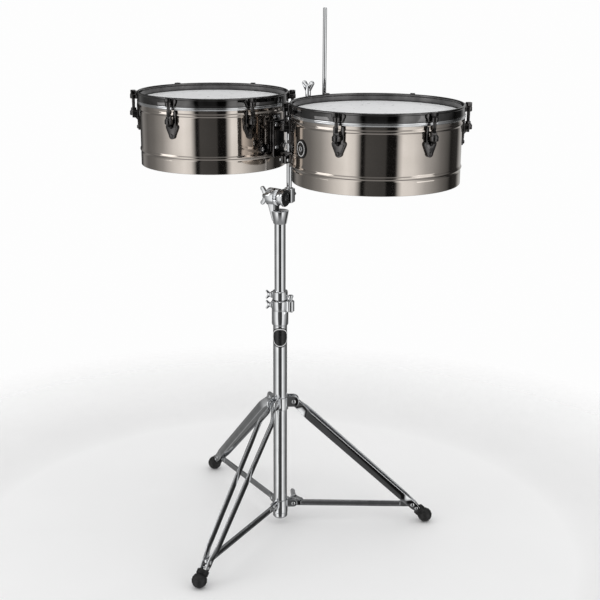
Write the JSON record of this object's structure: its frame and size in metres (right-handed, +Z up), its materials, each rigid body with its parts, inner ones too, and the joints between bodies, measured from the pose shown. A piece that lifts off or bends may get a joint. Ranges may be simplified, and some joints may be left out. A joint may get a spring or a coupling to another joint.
{
  "type": "timbales pair on tripod stand",
  "caption": "Pair of shallow metal-shelled drums of two sizes with tuning hoops on a folding double-braced tripod stand, with a bent rod for a bell.",
  "frame": {"origin": "middle of the bounding box's footprint, on the floor under the feet", "axes": "+X from the smaller drum to the larger one, +Y from the player's side to the bell rod's side, +Z up"},
  "size_m": [0.8315, 0.6345, 1.283],
  "materials": {
    "shell_steel": "polished, faintly warm stainless steel",
    "black_nickel": "dark smoky plating, glossy",
    "stand_chrome": "bright chrome plating",
    "head_film": "smooth white film",
    "foot_rubber": "matte black, ribbed",
    "bush_nylon": "matte black"
  },
  "bodies": {
    "stand": {"base_tube": "stand_chrome", "end_cap": "stand_chrome", "leg_collar": "stand_chrome", "leg_collar_rivets": "stand_chrome", "height_clamp": "stand_chrome", "clamp_pin": "stand_chrome"},
    "clamp_screw": {"clamp_wing_screw": "stand_chrome"},
    "bush": {"clamp_bush": "bush_nylon"},
    "column": {"middle_tube": "stand_chrome", "tilter_yoke": "stand_chrome", "tilter_bolt": "stand_chrome", "tilter_washer": "stand_chrome"},
    "tilter_nut": {"tilter_wing_nut": "stand_chrome"},
    "memory_ring": {"memory_lock": "stand_chrome"},
    "memory_screw": {"memory_wing_screw": "stand_chrome"},
    "drums": {"small_shell": "shell_steel", "large_shell": "shell_steel", "small_hoop": "black_nickel", "large_hoop": "black_nickel", "small_flesh_hoop": "stand_chrome", "large_flesh_hoop": "stand_chrome", "small_head": "head_film", "large_head": "head_film", "small_lugs": "black_nickel", "large_lugs": "black_nickel", "small_claws": "black_nickel", "large_claws": "black_nickel", "small_tension_bolts": "black_nickel", "large_tension_bolts": "black_nickel", "small_lug_nuts": "black_nickel", "large_lug_nuts": "black_nickel", "small_lug_screws": "stand_chrome", "large_lug_screws": "stand_chrome", "vent_badge": "black_nickel", "vent_grommet": "stand_chrome", "small_mount_plate": "black_nickel", "large_mount_plate": "black_nickel", "mount_screws": "stand_chrome", "bracket_bolts": "stand_chrome", "centre_bracket": "black_nickel", "bracket_clamp_bolt": "stand_chrome", "post": "stand_chrome", "rod_clamp": "black_nickel", "tilter_head": "stand_chrome", "post_set_screw": "stand_chrome"},
    "rod": {"cowbell_rod": "stand_chrome"},
    "rod_screw": {"rod_wing_bolt": "stand_chrome"},
    "sliding_collar": {"brace_collar": "stand_chrome", "brace_pins": "stand_chrome"},
    "collar_screw": {"collar_wing_screw": "stand_chrome"},
    "brace_right": {"brace_right": "stand_chrome"},
    "leg_right": {"leg_right": "stand_chrome", "foot_right": "foot_rubber"},
    "brace_back": {"brace_back": "stand_chrome"},
    "leg_back": {"leg_back": "stand_chrome", "foot_back": "foot_rubber"},
    "brace_front": {"brace_front": "stand_chrome"},
    "leg_front": {"leg_front": "stand_chrome", "foot_front": "foot_rubber"}
  },
  "joints": [
    {"name": "column_turn", "type": "hinge", "parent": "stand", "child": "bush", "pos_m": [-0.0205, 0.074, 0.571], "axis": [0, 0, 1], "continuous": true},
    {"name": "height_slide", "type": "slide", "parent": "bush", "child": "column", "axis": [0, 0, 1], "range_m": [-0.1, 0.14]},
    {"name": "drum_tilt", "type": "hinge", "parent": "column", "child": "drums", "pos_m": [-0.0205, 0.074, 0.851], "axis": [1, 0, 0], "range_deg": [-25, 60]},
    {"name": "tilter_nut_turn", "type": "hinge", "parent": "column", "child": "tilter_nut", "pos_m": [-0.0585, 0.074, 0.851], "axis": [1, 0, 0], "continuous": true},
    {"name": "height_screw_turn", "type": "hinge", "parent": "stand", "child": "clamp_screw", "pos_m": [-0.04351, 0.06423, 0.58425], "axis": [-0.9205, -0.3907, 0], "continuous": true},
    {"name": "memory_slide", "type": "slide", "parent": "stand", "child": "memory_ring", "axis": [0, 0, 1], "range_m": [0, 0.05]},
    {"name": "memory_screw_turn", "type": "hinge", "parent": "memory_ring", "child": "memory_screw", "pos_m": [-0.04351, 0.06423, 0.61], "axis": [-0.9205, -0.3907, 0], "continuous": true},
    {"name": "rod_swing", "type": "hinge", "parent": "drums", "child": "rod", "pos_m": [-0.0125, 0.187, 1.046], "axis": [0, 1, 0], "range_deg": [-60, 60]},
    {"name": "rod_screw_turn", "type": "hinge", "parent": "drums", "child": "rod_screw", "pos_m": [-0.0125, 0.187, 1.066], "axis": [0, 0, 1], "continuous": true},
    {"name": "collar_slide", "type": "slide", "parent": "stand", "child": "sliding_collar", "axis": [0, 0, 1], "range_m": [0, 0.16789]},
    {"name": "collar_screw_turn", "type": "hinge", "parent": "sliding_collar", "child": "collar_screw", "pos_m": [-0.01493, 0.11361, 0.05], "axis": [0.1392, 0.9903, 0], "continuous": true},
    {"name": "brace_right_fold", "type": "hinge", "parent": "sliding_collar", "child": "brace_right", "pos_m": [0.00775, 0.092, 0.054], "axis": [-0.5373, 0.8434, 0], "range_deg": [0, 82.93]},
    {"name": "leg_right_fold", "type": "hinge", "parent": "brace_right", "child": "leg_right", "pos_m": [0.26611, 0.25659, 0.04913], "axis": [-0.5373, 0.8434, 0], "range_deg": [-40.45, 0]},
    {"name": "brace_back_fold", "type": "hinge", "parent": "sliding_collar", "child": "brace_back", "pos_m": [-0.05022, 0.08947, 0.054], "axis": [-0.4617, -0.887, 0], "range_deg": [0, 82.93]},
    {"name": "leg_back_fold", "type": "hinge", "parent": "brace_back", "child": "leg_back", "pos_m": [-0.32193, 0.23092, 0.04913], "axis": [-0.4617, -0.887, 0], "range_deg": [-40.45, 0]},
    {"name": "brace_front_fold", "type": "hinge", "parent": "sliding_collar", "child": "brace_front", "pos_m": [-0.01904, 0.04053, 0.054], "axis": [0.999, 0.0436, 0], "range_deg": [0, 82.93]},
    {"name": "leg_front_fold", "type": "hinge", "parent": "brace_front", "child": "leg_front", "pos_m": [-0.00568, -0.2655, 0.04913], "axis": [0.999, 0.0436, 0], "range_deg": [-40.45, 0]}
  ],
  "couplings": [
    {"joint": "brace_right_fold", "follows": "collar_slide", "rad_per_m": 8.621},
    {"joint": "leg_right_fold", "follows": "collar_slide", "rad_per_m": -4.2051},
    {"joint": "brace_back_fold", "follows": "collar_slide", "rad_per_m": 8.621},
    {"joint": "leg_back_fold", "follows": "collar_slide", "rad_per_m": -4.2051},
    {"joint": "brace_front_fold", "follows": "collar_slide", "rad_per_m": 8.621},
    {"joint": "leg_front_fold", "follows": "collar_slide", "rad_per_m": -4.2051}
  ]
}
